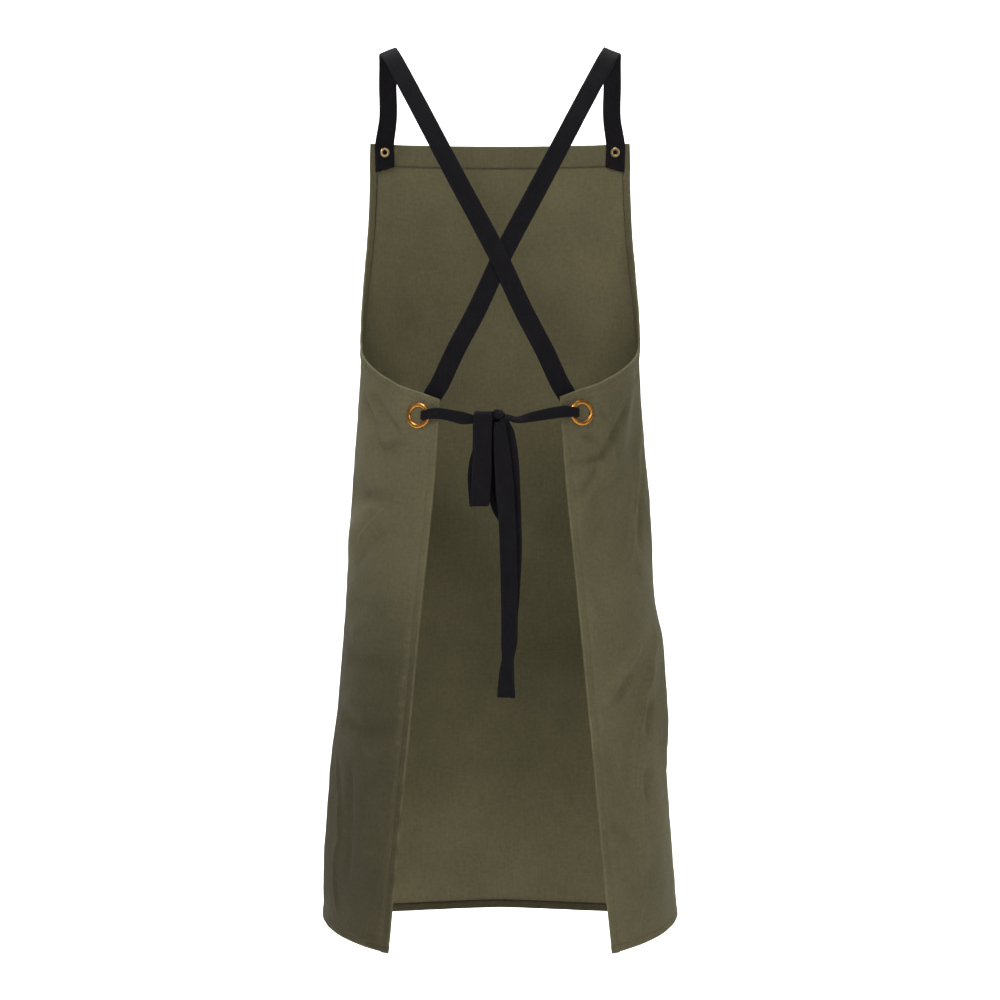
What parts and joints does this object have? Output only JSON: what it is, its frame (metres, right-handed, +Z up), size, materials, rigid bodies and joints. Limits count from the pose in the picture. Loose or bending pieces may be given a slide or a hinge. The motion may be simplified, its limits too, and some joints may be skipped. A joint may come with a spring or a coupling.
{
  "type": "cross back apron",
  "caption": "Bib apron whose two shoulder tapes cross at the back, pass through brass eyelets in the side flaps and tie in a bow at the waist.",
  "frame": {"origin": "midway between the two strap tops, at the height where they bear on the shoulders", "axes": "+Z up, -Y towards the front of the apron, +X towards the wearer's left"},
  "size_m": [0.3908, 0.2285, 0.9706],
  "materials": {
    "canvas": "olive cotton twill, matt, washed soft, with a fine diagonal weave",
    "tape": "near-black cotton herringbone tape, matt",
    "brass": "warm antique brass, polished"
  },
  "bodies": {
    "root": {"apron_panel": "canvas", "front_pocket": "canvas", "left_strap": "tape", "right_strap": "tape", "waist_knot": "tape", "bow_loop": "tape", "hidden_loop": "tape", "long_tail": "tape", "short_tail": "tape", "left_eyelet": "brass", "right_eyelet": "brass", "left_bib_eyelet": "brass", "right_bib_eyelet": "brass"}
  },
  "joints": []
}
